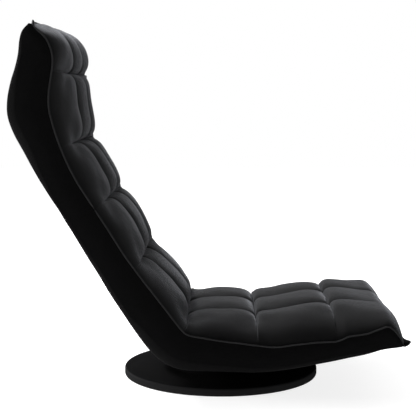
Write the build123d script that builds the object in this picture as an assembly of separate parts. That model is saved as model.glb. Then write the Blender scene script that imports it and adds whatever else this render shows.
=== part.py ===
from build123d import *
import os
from math import atan2, cos, degrees, hypot, radians, sin, sqrt, tan

# A legless lounge chair: a tufted cushion in three hinged sections on a swivel disc.
# The origin is on the floor under the swivel axis. +X points the way the sitter faces,
# +Y to the sitter's left and +Z up. Sizes are in millimetres, angles in degrees.

# Floor disc and pad
BASE_DIAMETER = 450.0
BASE_HEIGHT = 17.5
BASE_WALL = 2.5
BASE_EDGE_RADIUS = 5.0
BASE_LIP_WIDTH = 22.0
PAD_THICKNESS = 2.0
PAD_INSET = 1.0
BOSS_DIAMETER = 210.0
BOSS_HEIGHT = 6.5
BOSS_SLOPE = 10.0

# Swivel bearing
RACE_DIAMETER = 200.0
RACE_THICKNESS = 4.0
BALL_CIRCLE_DIAMETER = 160.0
BALL_DIAMETER = 10.0
BALL_COUNT = 16
BALL_GROOVE_DEPTH = 2.5
CAGE_WIDTH = 17.0
CAGE_THICKNESS = 2.6
CAGE_CLEARANCE = 0.1
KING_RIVET_DIAMETER = 30.0
KING_FLANGE_WIDTH = 4.0
KING_FLANGE_THICKNESS = 2.5
KING_BORE_DIAMETER = 18.0
RUNNING_CLEARANCE = 0.06
FACE_CLEARANCE = 0.1

# Mounting dish and its fasteners
DISH_WALL = 2.5
DISH_FLOOR_DIAMETER = 208.0
DISH_CONE_WIDTH = 24.0
DISH_FLANGE_DIAMETER = 312.0
SCREW_DIAMETER = 6.0
SCREW_HEAD_DIAMETER = 12.0
SCREW_HEAD_HEIGHT = 3.6
SCREW_CIRCLE_DIAMETER = 104.0
SCREW_COUNT = 4
SCREW_SOCKET = 5.0
SCREW_SOCKET_DEPTH = 2.0
BOLT_SPACING_X = 160.0
BOLT_SPACING_Y = 230.0
NUT_WIDTH = 10.0
NUT_HEIGHT = 5.0

# Cushion cover
CUSHION_WIDTH = 504.0
COVER_THICKNESS = 1.6
SOFT_GAP = 0.3
JOINT_GAP = 0.5
EDGE_RADIUS = 14.0
PIPING_DIAMETER = 5.2
HEM_DIAMETER = 8.8
KNUCKLE_RADIUS = 56.0

# Seat profile: heights above the floor, distances ahead of the swivel axis
SEAT_UNDERSIDE = 58.0
RECLINE_SETBACK = 100.0
UNDERSIDE_BEND = 115.0
UNDERSIDE_BEND_RADIUS = 150.0
SEAT_FRONT = 381.0
SEAT_FRONT_RISE = 56.0
FRONT_SEAM = 352.0
FRONT_SEAM_RISE = 100.0
HOLLOW = 110.0
HOLLOW_SEAM_RISE = 58.0
HOLLOW_RADIUS = 200.0
REAR_SEAM_SLOPE = 7.4

# Back and headrest profile, measured from the recline and headrest pivots
TOOTH_PITCH = 6.25
CLICKS_TO_UPRIGHT = 5
CLICKS_TO_FLAT = 9
HEAD_CLICKS = 7
BACK_LENGTH = 571.0
BACK_SEAM = 13.0
LOWER_EDGE = 24.0
HEAD_REAR_LEAN = 12.0
HEAD_REAR_LENGTH = 166.0
HEAD_REAR_RADIUS = 18.0
HEAD_TOP_DEPTH = 22.0
HEAD_RISE = 190.0
HEAD_SEAM = 45.0
HEAD_SEAM_RISE = 120.0
HEAD_SEAM_LEAN = 5.0

# Tufts: three columns, with each row's place along its section and, over the seam,
# the heights of the middle crest, the outer crests and the grooves between columns
COLUMN_HALF_WIDTH = 78.0
OUTER_CREST = 150.0
TUFT_EDGE = 2.2
TUFT_ROOT = 7.0
SEAT_TUFTS = (
    ((-55.0, 19.0, 18.0, 14.0), (2.0, 43.0, 40.0, 31.0), (79.0, 35.0, 31.0, 26.0)),
    ((79.0, 35.0, 31.0, 26.0), (175.0, 62.0, 56.0, 45.0), (243.0, 44.0, 41.0, 34.0)),
    ((243.0, 44.0, 41.0, 34.0), (298.0, 52.0, 44.0, 35.0), (353.0, 26.0, 22.0, 15.0)),
)
SEAT_LIP = (5.5, 9.0, 8.0, 6.0)
BACK_TUFTS = (
    ((-43.0, 25.0, 24.0, 20.0), (-115.0, 53.0, 44.0, 34.0), (-187.0, 27.0, 26.0, 20.0)),
    ((-187.0, 27.0, 26.0, 20.0), (-265.0, 52.0, 44.0, 34.0), (-342.0, 31.0, 28.0, 21.0)),
    ((-342.0, 31.0, 28.0, 21.0), (-415.0, 53.0, 44.0, 34.0), (-480.5, 30.0, 27.0, 20.0)),
)
HEAD_CHIN_TUFT = ((52.7, 58.0, 29.0, 20.0, 16.0), (-3.0, 47.0, 46.0, 42.0, 33.0))
HEAD_NECK_TUFT = (-93.0, 25.0, 15.0, 11.0)
HEAD_BROW_TUFT = ((-130.0, 45.0, 34.0, 25.0), (-166.0, 48.0, 37.0, 29.0))
HEAD_LIP = (2.0, 9.0, 8.0, 6.0)

# Steel frame
TUBE_DIAMETER = 22.0
TUBE_WALL = 1.5
BAR_DIAMETER = 19.0
RAIL_SIDE_MARGIN = 57.0
SEAT_RAIL_REAR = 2.0
SEAT_RAIL_SLOPE_LENGTH = 232.0
FRONT_BAR_SETBACK = 16.0
CROSS_BAR_WIDTH = 30.0
CROSS_BAR_HEIGHT = 16.0
BACK_RAIL_DEPTH = 22.0
BACK_RAIL_LOWER = 70.0
BACK_RAIL_UPPER = 526.0
BACK_BAR_LOWER = 150.0
BACK_BAR_UPPER = 440.0
HEAD_LOOP_DEPTH = 6.0
HEAD_LOOP_LOWER = 62.0
HEAD_LOOP_UPPER = 146.0
HEAD_LOOP_RADIUS = 45.0
STRAP_WIDTH = 42.0
STRAP_THICKNESS = 1.8
STRAP_OVERHANG = 5.0
SEAT_STRAPS_FLAT = (20.0, 78.0)
SEAT_STRAPS_SLOPE = (50.0, 110.0, 170.0)
BACK_STRAPS = (200.0, 260.0, 330.0, 390.0)
CHANNEL_GAP = 0.4

# Ratchet hinges
CHEEK_THICKNESS = 2.5
CHEEK_RADIUS = 27.0
CHEEK_ARM_NEAR = 48.0
CHEEK_ARM_FAR = 104.0
CHEEK_ARM_RADIUS = 11.0
SPACER_RADIUS = 4.5
RATCHET_THICKNESS = 5.0
RATCHET_RADIUS = 24.0
RATCHET_HUB_RADIUS = 18.0
RATCHET_ARM_NEAR = 76.0
RATCHET_ARM_FAR = 122.0
RATCHET_ARM_RADIUS = 11.0
TOOTH_DEPTH = 2.2
TOOTH_MOUTH = 4.4
TOOTH_ROOT = 1.2
PIVOT_DIAMETER = 12.0
PIVOT_HEAD_DIAMETER = 20.0
PIVOT_HEAD_THICKNESS = 2.5
PAWL_BEARING = -30.0
PAWL_PIVOT_OUT = 27.0
PAWL_PIVOT_BACK = 17.0
PAWL_HUB_RADIUS = 4.6
PAWL_EAR_RADIUS = 8.0
PAWL_PIN_DIAMETER = 5.0
PAWL_LIFT = 8.5
PAWL_ROOT_CLEARANCE = 0.3
PAWL_FLANK_CLEARANCE = 0.12
PAWL_DEPTH = 6.0
PAWL_SHOULDER = 3.5
PAWL_SHOULDER_CLEARANCE = 1.0
SPRING_POST_DIAMETER = 4.0
SPRING_POST_OUT = 38.0
SPRING_THICKNESS = 0.8
SPRING_BEND = 3.5
SPRING_WIDTH = 4.0
SPRING_OVERHANG = 1.0
SWING_ROOM_LENGTH = 84.0
SWING_ROOM_HEIGHT = 104.0
SWING_ROOM_BACK = 20.0
SWING_ROOM_RISE = 10.0

# Values worked out from the driving sizes
BACK_LEAN = CLICKS_TO_UPRIGHT * TOOTH_PITCH
HALF_WIDTH = CUSHION_WIDTH / 2
TUBE_RADIUS = TUBE_DIAMETER / 2
RAIL_HALF_SPACING = HALF_WIDTH - RAIL_SIDE_MARGIN
FRONT_BAR = SEAT_RAIL_SLOPE_LENGTH - FRONT_BAR_SETBACK
BASE_RADIUS = BASE_DIAMETER / 2
BOSS_TOP = BASE_HEIGHT + BOSS_HEIGHT
BALL_RADIUS = BALL_DIAMETER / 2
BALL_CIRCLE = BALL_CIRCLE_DIAMETER / 2
BALL_HEIGHT = BOSS_TOP + RACE_THICKNESS - BALL_GROOVE_DEPTH + BALL_RADIUS
DISH_FLOOR = 2 * BALL_HEIGHT - BOSS_TOP
BAR_UNDERSIDE = SEAT_UNDERSIDE + COVER_THICKNESS
SEAT_RAIL_HEIGHT = BAR_UNDERSIDE + TUBE_RADIUS
FRONT_SLOPE = degrees(atan2(SEAT_FRONT_RISE, SEAT_FRONT - UNDERSIDE_BEND))
RECLINE_X = -RECLINE_SETBACK
RECLINE_Z = SEAT_UNDERSIDE + KNUCKLE_RADIUS
CUT_RADIUS = KNUCKLE_RADIUS + JOINT_GAP
FOAM_INSET = COVER_THICKNESS + SOFT_GAP
FOAM_HALF_WIDTH = HALF_WIDTH - FOAM_INSET
PIPING_RADIUS = PIPING_DIAMETER / 2
PIPING_Y = FOAM_HALF_WIDTH + SOFT_GAP + PIPING_RADIUS
PIPING_DROP = PIPING_RADIUS + SOFT_GAP
HEM_RADIUS = HEM_DIAMETER / 2
SCREW_RADIUS = SCREW_DIAMETER / 2
BORE_RADIUS = PIVOT_DIAMETER / 2 + RUNNING_CLEARANCE
RECLINE_CHEEK_Y = RAIL_HALF_SPACING + TUBE_RADIUS
BACK_RAIL_Y = RECLINE_CHEEK_Y + CHEEK_THICKNESS + FACE_CLEARANCE - TUBE_RADIUS
HEAD_CHEEK_Y = BACK_RAIL_Y + TUBE_RADIUS
HEAD_LOOP_Y = HEAD_CHEEK_Y + CHEEK_THICKNESS + FACE_CLEARANCE - TUBE_RADIUS
HINGE_WIDTH = 2 * CHEEK_THICKNESS + RATCHET_THICKNESS + 2 * FACE_CLEARANCE
RECLINE_RAIL_DROP = RECLINE_Z - SEAT_RAIL_HEIGHT
REACH = 2 * CUSHION_WIDTH

# Frames of the hinged sections: X runs down the section, Z out of its front
SEAT_REAR = Pos(RECLINE_X, 0, RECLINE_Z)
BACK = SEAT_REAR * Rot(0, 90 - BACK_LEAN, 0)
BACK_TOP = BACK * Pos(-BACK_LENGTH, 0, 0)
HEAD = BACK_TOP * Rot(0, BACK_LEAN, 0)


# Geometry of the side views, on points (x, z)

def in_space(point, y=0.0):
    return point[0], y, point[1]


def inset_corner(before, corner, after, inset_in, inset_out):
    """The corner of an anticlockwise outline once the edges before and after it have moved inwards."""
    first = (corner[0] - before[0], corner[1] - before[1])
    second = (after[0] - corner[0], after[1] - corner[1])
    normal_1 = (-first[1] / hypot(*first), first[0] / hypot(*first))
    normal_2 = (-second[1] / hypot(*second), second[0] / hypot(*second))
    cross = normal_1[0] * normal_2[1] - normal_1[1] * normal_2[0]
    x = (inset_in * normal_2[1] - inset_out * normal_1[1]) / cross
    z = (inset_out * normal_1[0] - inset_in * normal_2[0]) / cross
    return corner[0] + x, corner[1] + z


def to_circle(start, end, centre, radius):
    """Where the line from start towards end first meets a circle that start lies outside."""
    length = hypot(end[0] - start[0], end[1] - start[1])
    ux, uz = (end[0] - start[0]) / length, (end[1] - start[1]) / length
    dx, dz = start[0] - centre[0], start[1] - centre[1]
    along = dx * ux + dz * uz
    reach = -along - sqrt(along**2 - dx**2 - dz**2 + radius**2)
    return start[0] + reach * ux, start[1] + reach * uz


def arcs_round(centre, radius, start, end):
    """Arcs of under a half circle round a centre, anticlockwise from start to end."""
    first = degrees(atan2(start[1] - centre[1], start[0] - centre[0]))
    last = degrees(atan2(end[1] - centre[1], end[0] - centre[0]))
    turn = (last - first) % 360
    count = 1 + int(turn // 120)

    def point(share):
        angle = radians(first + turn * share)
        return centre[0] + radius * cos(angle), 0.0, centre[1] + radius * sin(angle)

    edges = []
    for step in range(count):
        from_point = in_space(start) if step == 0 else point(step / count)
        to_point = in_space(end) if step == count - 1 else point((step + 1) / count)
        edges.append(ThreePointArc(from_point, point((step + 0.5) / count), to_point))
    return edges


def lines(*points):
    return [Line(in_space(a), in_space(b)) for a, b in zip(points, points[1:])]


def rounded_lines(points, radius):
    return FilletPolyline(*[in_space(point) for point in points], radius=radius).edges()


# Side outlines of the three cushion sections. Each returns the edges that the cover wraps
# and the edges that it leaves open. The first move inwards by inset, the others by drop.

def seat_corners(inset, drop):
    rear_low = (RECLINE_X, SEAT_UNDERSIDE)
    bend = (UNDERSIDE_BEND, SEAT_UNDERSIDE)
    hem = (SEAT_FRONT, SEAT_UNDERSIDE + SEAT_FRONT_RISE)
    front = (FRONT_SEAM, SEAT_UNDERSIDE + FRONT_SEAM_RISE)
    hollow = (HOLLOW, SEAT_UNDERSIDE + HOLLOW_SEAM_RISE)
    rear = (RECLINE_X, seat_seam(RECLINE_X))
    low = (RECLINE_X, SEAT_UNDERSIDE + inset)
    bend_in = inset_corner(rear_low, bend, hem, inset, inset)
    hem_in = inset_corner(bend, hem, front, inset, drop)
    front_in = inset_corner(hem, front, hollow, drop, drop)
    hollow_in = inset_corner(front, hollow, rear, drop, drop)
    top = to_circle(hollow_in, (rear[0], rear[1] - drop), (RECLINE_X, RECLINE_Z), KNUCKLE_RADIUS - inset)
    return low, bend_in, hem_in, front_in, hollow_in, top


def seat_seam(x):
    """Height of the seat's seam at a distance ahead of the swivel axis."""
    low = SEAT_UNDERSIDE + HOLLOW_SEAM_RISE
    front_slope = (FRONT_SEAM_RISE - HOLLOW_SEAM_RISE) / (FRONT_SEAM - HOLLOW)
    if x > HOLLOW:
        return low + (x - HOLLOW) * front_slope
    return low + (HOLLOW - x) * tan(radians(REAR_SEAM_SLOPE))


def seat_outline(inset, drop):
    low, bend, hem, front, hollow, top = seat_corners(inset, drop)
    underside = rounded_lines([low, bend, hem], UNDERSIDE_BEND_RADIUS)
    knuckle = arcs_round((RECLINE_X, RECLINE_Z), KNUCKLE_RADIUS - inset, top, low)
    seam = rounded_lines([front, hollow, top], HOLLOW_RADIUS)
    return [*underside, *knuckle], [*lines(hem, front), *seam]


def back_outline(inset, drop):
    rear = inset - KNUCKLE_RADIUS
    seam = BACK_SEAM - drop
    pivot = (-BACK_LENGTH, 0.0)
    upper_seam = (pivot[0] + sqrt((KNUCKLE_RADIUS - inset) ** 2 - seam**2), seam)
    upper_rear = (pivot[0], rear)
    knuckle = arcs_round(pivot, KNUCKLE_RADIUS - inset, upper_seam, upper_rear)
    past = KNUCKLE_RADIUS / 2
    return [*knuckle, *lines(upper_rear, (past, rear))], lines((past, rear), (past, seam), upper_seam)


def head_corners(inset, drop):
    lean = radians(HEAD_REAR_LEAN)
    up = (-cos(lean), sin(lean))
    out = (-sin(lean) * KNUCKLE_RADIUS, -cos(lean) * KNUCKLE_RADIUS)
    past = KNUCKLE_RADIUS / 2
    low = (out[0] - up[0] * past, out[1] - up[1] * past)
    top = (out[0] + up[0] * HEAD_REAR_LENGTH, out[1] + up[1] * HEAD_REAR_LENGTH)
    hem = (-HEAD_RISE, top[1] + HEAD_TOP_DEPTH)
    brow = (-HEAD_SEAM_RISE, HEAD_SEAM)
    chin = (past, head_seam(past))
    low_in = inset_corner(top, low, chin, inset, 0)
    chin_in = inset_corner(low, chin, brow, 0, drop)
    brow_in = inset_corner(chin, brow, hem, drop, drop)
    hem_in = inset_corner(brow, hem, top, drop, inset)
    top_in = inset_corner(hem, top, low, inset, inset)
    return low_in, chin_in, brow_in, hem_in, top_in


def head_seam(x):
    return HEAD_SEAM - (HEAD_SEAM_RISE + x) * tan(radians(HEAD_SEAM_LEAN))


def head_outline(inset, drop):
    low, chin, brow, hem, top = head_corners(inset, drop)
    return [*rounded_lines([hem, top, low], HEAD_REAR_RADIUS)], lines(low, chin, brow, hem)


# Pieces that come in left and right

def mirrored(shape):
    return mirror(shape, Plane.XZ)


def pair(shape):
    return Compound([*shape.solids(), *mirrored(shape).solids()])


def less(shape, cutters):
    for cutter in cutters:
        shape = shape - cutter - mirrored(cutter)
    return shape


# Parts of a cushion section

def prism(outline, half_width, rounding=0.0):
    """The outline made as wide to each side, with the wrapped edges rounded over at both sides."""
    wrapped, left_open = outline
    block = extrude(Face(Wire([*wrapped, *left_open])), amount=half_width, dir=(0, 1, 0), both=True)
    if not rounding:
        return block
    marks = [edge @ 0.5 for edge in wrapped]

    def is_wrapped(edge):
        middle = edge @ 0.5
        at_side = abs(abs(middle.Y) - half_width) < 0.01
        return at_side and any(hypot(middle.X - mark.X, middle.Z - mark.Z) < 0.01 for mark in marks)

    return fillet([edge for edge in block.edges() if is_wrapped(edge)], rounding)


def across(radius, length=REACH):
    """A round bar along Y through the frame's origin."""
    return Rot(90, 0, 0) * Cylinder(radius, length)


def hollow_end(inset, lean=0.0):
    """What is cut from the lower end of a hinged section, so that it turns round the knuckle below it."""
    edge = LOWER_EDGE + inset
    step = Rot(0, lean, 0) * Pos(REACH / 2 - edge, 0, 0) * Box(REACH, REACH, REACH)
    return across(CUT_RADIUS + inset) + step


def no_end(inset):
    return None


def section(outline, end, inset, drop, half_width, rounding=0.0):
    block = prism(outline(inset, drop), half_width, rounding)
    cutter = end(inset)
    return block - cutter if cutter else block


def cover_panels(outline, end, cord_room):
    """The left side panel and the panel that wraps the rest of a section's cover."""
    over = -3 * COVER_THICKNESS
    outer = section(outline, end, 0.0, 0.0, HALF_WIDTH, EDGE_RADIUS)
    inner_width = HALF_WIDTH - COVER_THICKNESS
    inner = section(outline, end, COVER_THICKNESS, over, inner_width, EDGE_RADIUS - COVER_THICKNESS)
    core = section(outline, end, EDGE_RADIUS, over, HALF_WIDTH + COVER_THICKNESS)
    side = section(outline, end, EDGE_RADIUS + SOFT_GAP, PIPING_DROP, HALF_WIDTH)
    sheet = Pos(0, HALF_WIDTH - COVER_THICKNESS / 2, 0) * Box(2 * REACH, COVER_THICKNESS, 2 * REACH)
    return (side & sheet) - cord_room, less(outer - inner - core, [cord_room])


def foam_block(outline, end):
    return section(outline, end, FOAM_INSET, 0.0, FOAM_HALF_WIDTH, EDGE_RADIUS - FOAM_INSET)


def tuft_section(x, base, mid, outer, groove):
    """One cross-section of the tufted top: a flat underside and three crowned columns."""
    points = {
        "corner": (FOAM_HALF_WIDTH, base - TUFT_ROOT),
        "edge": (FOAM_HALF_WIDTH, base + TUFT_EDGE),
        "crest": (OUTER_CREST, base + outer),
        "groove": (COLUMN_HALF_WIDTH, base + groove),
    }
    left = {name: (x, y, z) for name, (y, z) in points.items()}
    right = {name: (x, -y, z) for name, (y, z) in points.items()}
    return Face(
        Wire(
            [
                Line(right["corner"], left["corner"]),
                Line(left["corner"], left["edge"]),
                ThreePointArc(left["edge"], left["crest"], left["groove"]),
                ThreePointArc(left["groove"], (x, 0, base + mid), right["groove"]),
                ThreePointArc(right["groove"], right["crest"], right["edge"]),
                Line(right["edge"], right["corner"]),
            ]
        )
    )


def tufted_rows(rows, outline, lip=None):
    """Rows of tufts lofted through their cross-sections, then cut to sit on the foam below them."""
    body = loft([tuft_section(*cut) for cut in rows[0]])
    for row in rows[1:]:
        body += loft([tuft_section(*cut) for cut in row])
    if lip:
        body += loft([tuft_section(*rows[-1][-1]), tuft_section(*lip)], ruled=True)
    return body - prism(outline(0.0, -SOFT_GAP), HALF_WIDTH)


def piping(points, radii=None, gap=0.0):
    """The cord in the left seam, or with a gap the room that it needs."""
    spots = [in_space(point, PIPING_Y) for point in points]
    path = FilletPolyline(*spots, radius=radii) if radii else Line(*spots)
    return sweep(Plane(path @ 0, z_dir=path % 0) * Circle(PIPING_RADIUS + gap), path)


# Frame tubes

def tube(path, gap=0.0):
    """A round tube along a path, or with a gap the channel that it needs."""
    start = Plane(path @ 0, z_dir=path % 0)
    solid = sweep(start * Circle(TUBE_RADIUS + gap), path)
    if gap:
        return solid
    return solid - sweep(start * Circle(TUBE_RADIUS - TUBE_WALL), path)


def across_tube(half_length, gap=0.0):
    """A straight round tube along Y, or with a gap the channel that it needs."""
    radius = BAR_DIAMETER / 2
    if gap:
        return across(radius + gap, 2 * half_length)
    return across(radius, 2 * half_length) - across(radius - TUBE_WALL, 2 * half_length)


def strap(half_length, gap=0.0):
    length = 2 * (half_length + STRAP_OVERHANG + gap)
    height = TUBE_RADIUS + SOFT_GAP + STRAP_THICKNESS / 2
    return Pos(0, 0, height) * Box(STRAP_WIDTH + 2 * gap, length, STRAP_THICKNESS + 2 * gap)


# Ratchet hinge on the left side, in a frame at its pivot

def sheet(sketch, y, thickness):
    """A flat piece standing in the side view, its inner face at y."""
    return Pos(0, y + thickness, 0) * Rot(90, 0, 0) * extrude(sketch, thickness)


def disc(radius, at=(0.0, 0.0)):
    return Pos(*at) * Circle(radius)


def hull(*discs):
    return make_hull([edge for piece in discs for edge in piece.edges()])


def from_pawl(out, along):
    """A point given by its distance from the pivot along the pawl's bearing, and across it."""
    angle = radians(PAWL_BEARING)
    return out * cos(angle) - along * sin(angle), out * sin(angle) + along * cos(angle)


PAWL_PIVOT = from_pawl(PAWL_PIVOT_OUT, -PAWL_PIVOT_BACK)
SPRING_POST = from_pawl(SPRING_POST_OUT, -SPRING_POST_DIAMETER)


def cheek_outline(rail_drop, gap=0.0):
    arm = [disc(CHEEK_ARM_RADIUS + gap, (x, -rail_drop)) for x in (CHEEK_ARM_NEAR, CHEEK_ARM_FAR)]
    return hull(disc(CHEEK_RADIUS + gap), disc(PAWL_EAR_RADIUS + gap, PAWL_PIVOT), *arm)


def hinge_cheeks(y, rail_drop):
    """Two cheek plates held apart by spacers, bored for the pivot, the pawl and the spring post."""
    bores = disc(BORE_RADIUS)
    bores += disc(PAWL_PIN_DIAMETER / 2 + RUNNING_CLEARANCE, PAWL_PIVOT)
    bores += disc(SPRING_POST_DIAMETER / 2, SPRING_POST)
    outline = cheek_outline(rail_drop) - bores
    cheeks = sheet(outline, y, CHEEK_THICKNESS)
    cheeks += sheet(outline, y + HINGE_WIDTH - CHEEK_THICKNESS, CHEEK_THICKNESS)
    for x in (CHEEK_ARM_NEAR, CHEEK_ARM_FAR):
        cheeks += sheet(disc(SPACER_RADIUS, (x, -rail_drop)), y, HINGE_WIDTH)
    return cheeks


def hinge_pivot(y):
    head = disc(PIVOT_HEAD_DIAMETER / 2)
    pivot = sheet(disc(PIVOT_DIAMETER / 2), y, HINGE_WIDTH)
    pivot += sheet(head, y - PIVOT_HEAD_THICKNESS, PIVOT_HEAD_THICKNESS)
    return pivot + sheet(head, y + HINGE_WIDTH, PIVOT_HEAD_THICKNESS)


def ratchet_arm(rail_depth, gap=0.0):
    near = disc(RATCHET_ARM_RADIUS + gap, (-RATCHET_ARM_NEAR, -rail_depth))
    far = disc(RATCHET_ARM_RADIUS + gap, (-RATCHET_ARM_FAR, -rail_depth))
    return hull(disc(RATCHET_HUB_RADIUS + gap), near, far)


def toothed_sector(fixed_turn, clicks_forward, clicks_back):
    """Teeth over the clicks in use and one more at each end, in the moving section's frame."""
    centre = PAWL_BEARING + fixed_turn
    root = RATCHET_RADIUS - TOOTH_DEPTH
    points = [(0.0, 0.0)]
    for click in range(-clicks_back - 1, clicks_forward + 2):
        valley = centre + click * TOOTH_PITCH
        profile = (
            (RATCHET_RADIUS, -TOOTH_MOUTH / 2),
            (root, -TOOTH_ROOT / 2),
            (root, TOOTH_ROOT / 2),
            (RATCHET_RADIUS, TOOTH_MOUTH / 2),
        )
        for radius, offset in profile:
            angle = radians(valley + offset)
            points.append((radius * cos(angle), radius * sin(angle)))
    return make_face(Polyline(*points, close=True))


def hinge_ratchet(y, rail_depth, fixed_turn, clicks_forward, clicks_back):
    plate = ratchet_arm(rail_depth) + toothed_sector(fixed_turn, clicks_forward, clicks_back)
    return sheet(plate - disc(BORE_RADIUS), y + CHEEK_THICKNESS + FACE_CLEARANCE, RATCHET_THICKNESS)


def hinge_pawl(y):
    """The pawl with its trunnions, lifted clear of the teeth."""
    tip = RATCHET_RADIUS - TOOTH_DEPTH + PAWL_ROOT_CLEARANCE
    mouth = RATCHET_RADIUS * radians(TOOTH_MOUTH / 2) - PAWL_FLANK_CLEARANCE
    root = RATCHET_RADIUS * radians(TOOTH_ROOT / 2)
    shoulder = RATCHET_RADIUS + PAWL_ROOT_CLEARANCE + PAWL_SHOULDER_CLEARANCE
    nose = [(tip, -root), (tip, root), (RATCHET_RADIUS, mouth), (shoulder, PAWL_SHOULDER)]
    nose += [(shoulder + PAWL_DEPTH, PAWL_SHOULDER), (shoulder + PAWL_DEPTH, -PAWL_SHOULDER)]
    nose += [(shoulder, -PAWL_SHOULDER / 2), (RATCHET_RADIUS, -mouth)]
    finger = make_face(Polyline(*[from_pawl(*point) for point in nose], close=True))
    bar = [(shoulder, PAWL_SHOULDER), (shoulder + PAWL_DEPTH, PAWL_SHOULDER), (shoulder, 0.0)]
    bar_edges = Polyline(*[from_pawl(*point) for point in bar], close=True).edges()
    body = finger + make_hull([*bar_edges, *disc(PAWL_HUB_RADIUS, PAWL_PIVOT).edges()])
    lift = Pos(*PAWL_PIVOT) * Rot(0, 0, -PAWL_LIFT) * Pos(-PAWL_PIVOT[0], -PAWL_PIVOT[1])
    pawl = sheet(lift * body, y + CHEEK_THICKNESS + FACE_CLEARANCE, RATCHET_THICKNESS)
    return pawl + sheet(disc(PAWL_PIN_DIAMETER / 2, PAWL_PIVOT), y, HINGE_WIDTH)


def pawl_spring(y):
    """A leaf on a post between the cheeks, bearing on the back of the lifted pawl."""
    start, end = -SPRING_POST_DIAMETER - SPRING_OVERHANG, SPRING_POST_DIAMETER
    foot, tip = SPRING_POST_OUT - SPRING_THICKNESS, SPRING_POST_OUT - SPRING_BEND
    leaf = [(foot, start), (foot + SPRING_THICKNESS, start), (tip + SPRING_THICKNESS, end), (tip, end)]
    blade = make_face(Polyline(*[from_pawl(*point) for point in leaf], close=True))
    middle = y + (HINGE_WIDTH - SPRING_WIDTH) / 2
    post = sheet(disc(SPRING_POST_DIAMETER / 2, SPRING_POST), y, HINGE_WIDTH)
    return sheet(blade, middle, SPRING_WIDTH) + post


def hinge_room(y, rail_drop):
    """The room for a hinge in the section that carries its cheeks, open where the ratchet arm swings."""
    margin = PIVOT_HEAD_THICKNESS + CHANNEL_GAP
    room = sheet(cheek_outline(rail_drop, CHANNEL_GAP), y - margin, HINGE_WIDTH + 2 * margin)
    swing = Box(SWING_ROOM_LENGTH, HINGE_WIDTH + 2 * margin, SWING_ROOM_HEIGHT)
    swing = Pos(-SWING_ROOM_BACK, y + HINGE_WIDTH / 2, SWING_ROOM_RISE) * swing
    return room + swing


def arm_room(y, rail_depth):
    """The slot for a ratchet arm in the section that it carries."""
    arm = ratchet_arm(rail_depth, CHANNEL_GAP)
    inner = y + CHEEK_THICKNESS + FACE_CLEARANCE
    return sheet(arm, inner - CHANNEL_GAP, RATCHET_THICKNESS + 2 * CHANNEL_GAP)


nodes = {}

# Floor disc
pad = Pos(0, 0, PAD_THICKNESS / 2) * Cylinder(BASE_RADIUS - PAD_INSET, PAD_THICKNESS)
nodes["base_floor_pad"] = pad

boss_radius = BOSS_DIAMETER / 2
bearing_bore = KING_RIVET_DIAMETER / 2 + RUNNING_CLEARANCE
pan_outer = [
    (bearing_bore, BOSS_TOP),
    (boss_radius, BOSS_TOP),
    (boss_radius + BOSS_SLOPE, BASE_HEIGHT),
    (BASE_RADIUS, BASE_HEIGHT),
    (BASE_RADIUS, PAD_THICKNESS),
]
pan_inner = [
    (BASE_RADIUS - BASE_LIP_WIDTH, PAD_THICKNESS),
    (BASE_RADIUS - BASE_LIP_WIDTH, PAD_THICKNESS + BASE_WALL),
    (BASE_RADIUS - BASE_WALL, PAD_THICKNESS + BASE_WALL),
    (BASE_RADIUS - BASE_WALL, BASE_HEIGHT - BASE_WALL),
    (boss_radius + BOSS_SLOPE - BASE_WALL / 2, BASE_HEIGHT - BASE_WALL),
    (boss_radius - BASE_WALL / 2, BOSS_TOP - BASE_WALL),
    (bearing_bore, BOSS_TOP - BASE_WALL),
    (bearing_bore, BOSS_TOP),
]
top_edge = rounded_lines(pan_outer, [0, 0, BASE_EDGE_RADIUS])
base_plate = revolve(Face(Wire([*top_edge, *lines(pan_outer[-1], *pan_inner)])), Axis.Z)
screw_places = PolarLocations(SCREW_CIRCLE_DIAMETER / 2, SCREW_COUNT, start_angle=45)
for place in screw_places:
    base_plate -= place * Pos(0, 0, BOSS_TOP) * Cylinder(SCREW_RADIUS + RUNNING_CLEARANCE, 4 * BASE_WALL)
nodes["base_plate"] = base_plate

# Swivel bearing
groove = Pos(0, 0, BALL_HEIGHT) * Torus(BALL_CIRCLE, BALL_RADIUS + RUNNING_CLEARANCE)
race_height = BOSS_TOP + RACE_THICKNESS / 2
race = Pos(0, 0, race_height) * (
    Cylinder(RACE_DIAMETER / 2, RACE_THICKNESS) - Cylinder(bearing_bore, RACE_THICKNESS)
)
race -= groove
for place in screw_places:
    race -= place * Pos(0, 0, race_height) * Cylinder(SCREW_RADIUS, RACE_THICKNESS)
nodes["swivel_lower_race"] = race
nodes["swivel_upper_race"] = mirror(race, Plane.XY.offset(BALL_HEIGHT))

ball_places = PolarLocations(BALL_CIRCLE, BALL_COUNT)
balls = [place * Pos(0, 0, BALL_HEIGHT) * Sphere(BALL_RADIUS) for place in ball_places]
nodes["swivel_balls"] = Compound([solid for ball in balls for solid in ball.solids()])
cage = Cylinder(BALL_CIRCLE + CAGE_WIDTH / 2, CAGE_THICKNESS)
cage -= Cylinder(BALL_CIRCLE - CAGE_WIDTH / 2, CAGE_THICKNESS)
cage = Pos(0, 0, BALL_HEIGHT) * cage
for place in ball_places:
    cage -= place * Pos(0, 0, BALL_HEIGHT) * Cylinder(BALL_RADIUS + CAGE_CLEARANCE, CAGE_THICKNESS)
nodes["swivel_ball_cage"] = cage

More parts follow.
